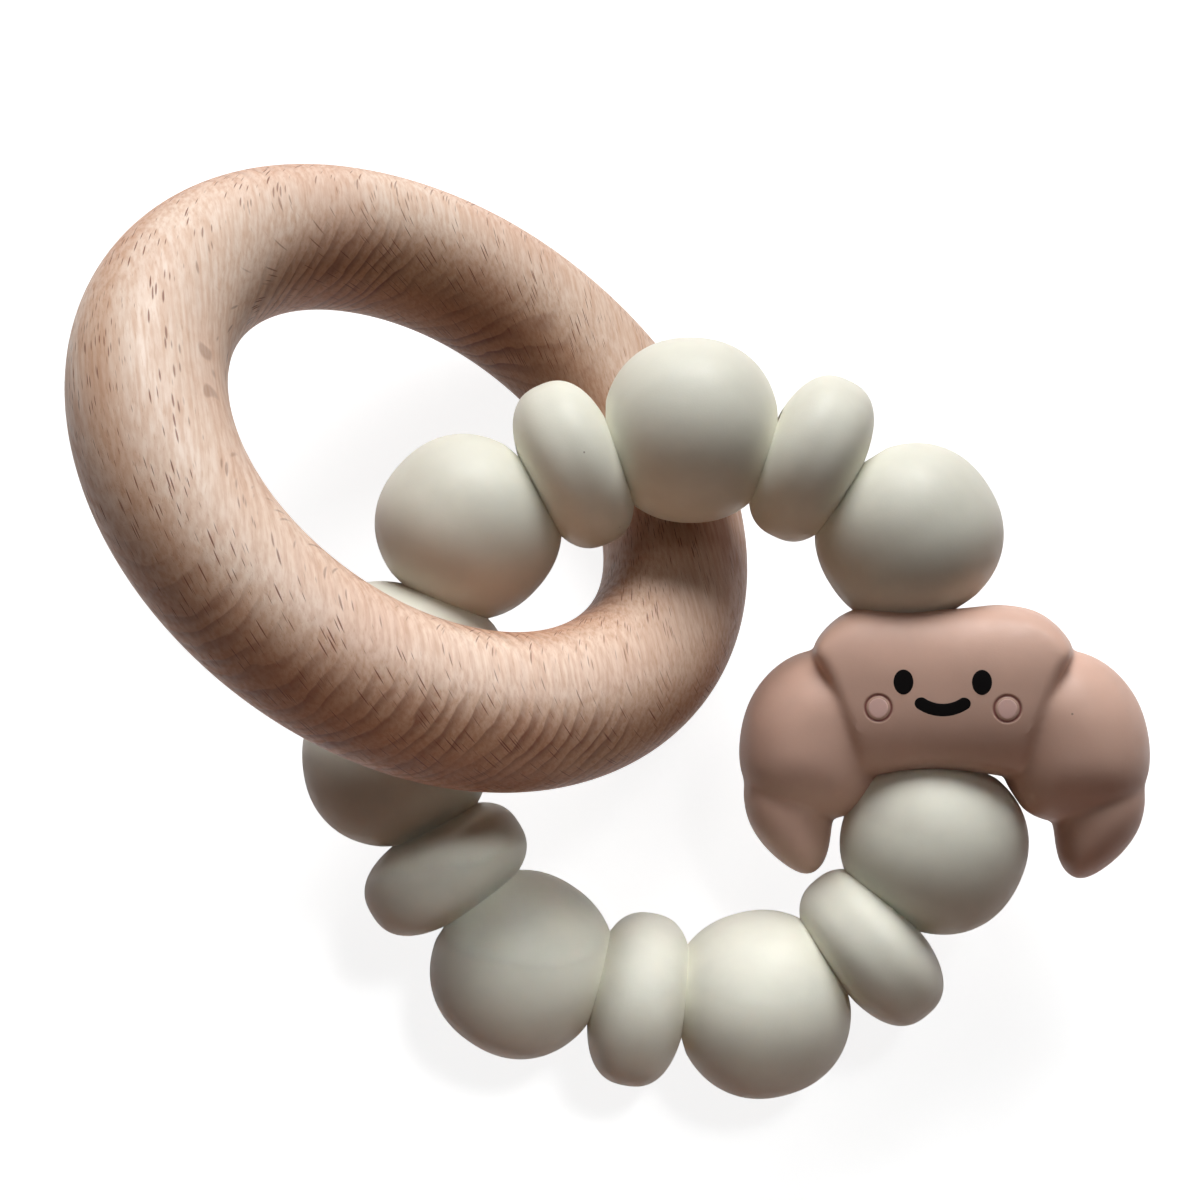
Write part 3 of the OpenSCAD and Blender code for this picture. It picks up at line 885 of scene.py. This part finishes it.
def beech_wood():
    """Bare beech: growth lines, short dark ray flecks, fine pores and streaks along the fibre."""
    made, tree, shader = material("beech_wood")
    board = attribute(tree, "board")["Vector"]
    end_grain = attribute(tree, "end_grain")["Fac"]
    quartered = attribute(tree, "quartered")["Fac"]

    def grain(density, detail=3):
        return noise(tree, stretched(tree, board, density), 1.0, detail)

    def times(first, second):
        return combine(tree, "MULTIPLY", first, second)

    def tinted(colour, factor, tint):
        return mix(tree, factor, colour, tint, "MULTIPLY")

    patch = grain(PATCH_DENSITY)
    tone = mix(tree, spread(tree, patch, PATCH_BAND), srgb(*BEECH_PALE), srgb(*BEECH_DEEP))
    # Darker flat-sawn faces: partly the wood's own look, partly painted shade
    edge = combine(tree, "ADD", quartered, times(patch, FLAT_SAWN_SHADE_PATCH))
    tone = tinted(tone, spread(tree, edge, FLAT_SAWN_SHADE_BAND, (1, 0)), FLAT_SAWN_AND_SHADE_TINT)
    # Painted shade: darker towards the ring's right side, where the board lies nearer the tree's middle
    depth = add_node(tree, "SeparateXYZ", {"Vector": board}).outputs["X"]
    tone = tinted(tone, spread(tree, depth, SIDE_SHADE_DEPTHS, (1, 0)), SIDE_SHADE_TINT)

    across = combine(tree, "ADD", depth, times(grain(WANDER_DENSITY), GROWTH_WANDER))
    year = combine(tree, "FRACT", combine(tree, "DIVIDE", across, GROWTH))
    line = times(spread(tree, year, GROWTH_RISE), spread(tree, year, GROWTH_FALL, (1, 0)))
    strong = spread(tree, end_grain, LINE_ENDS, LINE_STRENGTH)
    fading = spread(tree, grain(FADE_DENSITY, 2), FADE_BAND, FADE_STRENGTH)
    line = times(line, times(strong, fading))
    tone = mix(tree, line, tone, srgb(*GROWTH_COLOUR))

    distance, number = cells(tree, stretched(tree, board, RAY_DENSITY))
    reach = combine(tree, "SUBTRACT", distance, times(number, RAY_SIZE))
    ray = spread(tree, reach, RAY_EDGE, (RAY_STRENGTH, 0))
    ray = times(ray, spread(tree, quartered, RAY_QUARTERS, (1, RAY_ON_QUARTERS)))
    tone = mix(tree, ray, tone, srgb(*RAY_COLOUR))

    pore = spread(tree, grain(PORE_DENSITY, 2), PORE_BAND)
    tone = tinted(tone, pore, PORE_TINT)
    streak = grain(STREAK_DENSITY)
    tone = tinted(tone, spread(tree, streak, STREAK_BAND), STREAK_TINT)
    tone = tinted(tone, spread(tree, grain(MOTTLE_DENSITY), STREAK_BAND), MOTTLE_TINT)
    # Darker end grain: partly the wood's own colour, partly painted shade
    tone = tinted(tone, spread(tree, end_grain, END_GRAIN_SHADE_BAND), END_GRAIN_AND_SHADE_TINT)
    tree.links.new(tone, shader.inputs["Base Color"])

    tree.links.new(spread(tree, streak, NOISE_BAND, WOOD_ROUGHNESS), shader.inputs["Roughness"])
    shader.inputs["Specular IOR Level"].default_value = WOOD_SHINE
    sunk = combine(tree, "ADD", ray, combine(tree, "ADD", pore, line))
    bump(tree, shader, times(sunk, WOOD_SINK), WOOD_DEPTH)
    return made


def cord_fibre():
    """Waxed cord: fine fibres, a little uneven in tone."""
    made, tree, shader = material("cord_fibre")
    fibre = noise(tree, in_millimetres(tree), FIBRE_SCALE, 4)
    tone = mix(tree, spread(tree, fibre, NOISE_BAND), srgb(*CORD_PALE), srgb(*CORD_DEEP))
    tree.links.new(tone, shader.inputs["Base Color"])
    shader.inputs["Roughness"].default_value = CORD_ROUGHNESS
    bump(tree, shader, fibre, FIBRE_DEPTH)
    return made


# Pieces

def dress(piece, body, finish, node):
    """Gives a piece its finish and its body, and hides the solid that it stands for."""
    piece.data.materials.append(finish)
    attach(piece, body)
    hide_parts(node)


BONE = silicone("bone_silicone", BONE_COLOUR)
PINK = silicone("pink_tan_silicone", PINK_COLOUR, groove_shade=GROOVE_SHADE_COLOUR)
CHEEK = silicone("cheek_silicone", CHEEK_COLOUR, speck=0.0)
BLACK = silicone("black_silicone", BLACK_COLOUR, roughness=0.6, shine=0.05, sheen=0.0, speck=0.0)
BEECH = beech_wood()
CORD = cord_fibre()

dress(wooden_ring(), "wooden_ring", BEECH, "wooden_ring")
dress(cord(), "cord", CORD, "cord")
dress(cord_knot(), "cord", CORD, "cord_knot")
for kind, total, outline in (("round", ROUNDS, round_profile()), ("lentil", LENTILS, lentil_profile())):
    for number in range(1, total + 1):
        bead = f"{kind}_bead_{number}"
        skin = revolve(f"{bead}_skin", outline, bead_place(bead))
        dress(skin, bead, BONE, bead)
dress(croissant(), "croissant", PINK, "croissant")
for nodes, slot, finish in ((EYES, "silicone_black", BLACK), (CHEEKS, "silicone_cheek", CHEEK)):
    for node in nodes:
        dress(inlay(f"{node}_inlay", oval_rows(node)), "croissant", finish, node)
dress(inlay("mouth_inlay", smile_rows()), "croissant", BLACK, "mouth")


# Floor, light and camera

def seen_directly(tree):
    """1 for what is seen straight, in a gloss or through something, and 0 for bounced light."""
    path = add_node(tree, "LightPath").outputs
    seen = combine(tree, "MAXIMUM", path["Is Camera Ray"], path["Is Glossy Ray"])
    return combine(tree, "MAXIMUM", seen, path["Is Transmission Ray"])


def show(tree, output, bounced, shown):
    """Ends a tree of nodes in one look where it is seen, and another where it only gives light."""
    both = add_node(tree, "MixShader", {0: seen_directly(tree), 1: bounced, 2: shown}).outputs[0]
    tree.links.new(both, tree.nodes[output].inputs["Surface"])


def floor():
    """A white floor that keeps a light shadow. It bounces little light, of a warm tone."""
    mesh = bpy.data.meshes.new("floor")
    half = FLOOR_HALF * MM
    corners = [(-half, -half, 0), (half, -half, 0), (half, half, 0), (-half, half, 0)]
    mesh.from_pydata(corners, [], [(0, 1, 2, 3)])
    piece = add_object("floor", mesh)
    made, tree, shader = material("floor")
    tree.nodes.remove(shader)
    white = add_node(tree, "BsdfDiffuse", {"Color": FLOOR_GREY}).outputs[0]
    glow = add_node(tree, "Emission", {"Strength": FLOOR_GLOW}).outputs[0]
    shown = add_node(tree, "AddShader", {0: white, 1: glow}).outputs[0]
    bounced = add_node(tree, "BsdfDiffuse", {"Color": srgb(*FLOOR_BOUNCE)}).outputs[0]
    show(tree, "Material Output", bounced, shown)
    mesh.materials.append(made)


def sky():
    """White where it is seen, and a weak even light on the object."""
    world = bpy.data.worlds.new("world")
    world.use_nodes = True
    tree = world.node_tree
    weak = add_node(tree, "Background", {"Color": WHITE, "Strength": SKY}).outputs[0]
    white = add_node(tree, "Background", {"Color": WHITE, "Strength": 1.0}).outputs[0]
    show(tree, "World Output", weak, white)
    bpy.context.scene.world = world


def lamp(name, at, aim, size, power, spread_angle=180.0, tint=WHITE[:3]):
    """A round soft lamp, placed and aimed right, up and out of the loop's centre."""
    light = bpy.data.lights.new(name, "AREA")
    light.shape = "DISK"
    light.size = size * MM
    light.energy = power
    light.spread = math.radians(spread_angle)
    light.color = tint
    made = add_object(name, light)
    made.location = LOOP_CENTRE + VIEW @ Vector(at) * MM
    towards = VIEW @ (Vector(aim) - Vector(at))
    made.rotation_euler = towards.to_track_quat("-Z", "Y").to_euler()


def camera():
    """The photograph's view: square on to the loop, with the croissant's bore upright."""
    lens = bpy.data.cameras.new("camera")
    lens.lens = LENS
    lens.sensor_width = SENSOR
    lens.clip_start = CLIP_START * MM
    made = add_object("camera", lens)
    at = LOOP_CENTRE + VIEW @ Vector(CAMERA_AT) * MM
    made.matrix_world = Matrix.Translation(at) @ VIEW.to_4x4()
    bpy.context.scene.camera = made


floor()
sky()
lamp("key", KEY_AT, MIDDLE, KEY_SIZE, KEY_POWER)
lamp("low", LOW_AT, LOW_AIM, LOW_SIZE, LOW_POWER, LOW_SPREAD)
lamp("bounce", BOUNCE_AT, MIDDLE, BOUNCE_SIZE, BOUNCE_POWER, BOUNCE_SPREAD, BOUNCE_TINT)
camera()
bpy.context.scene.view_settings.view_transform = "Standard"
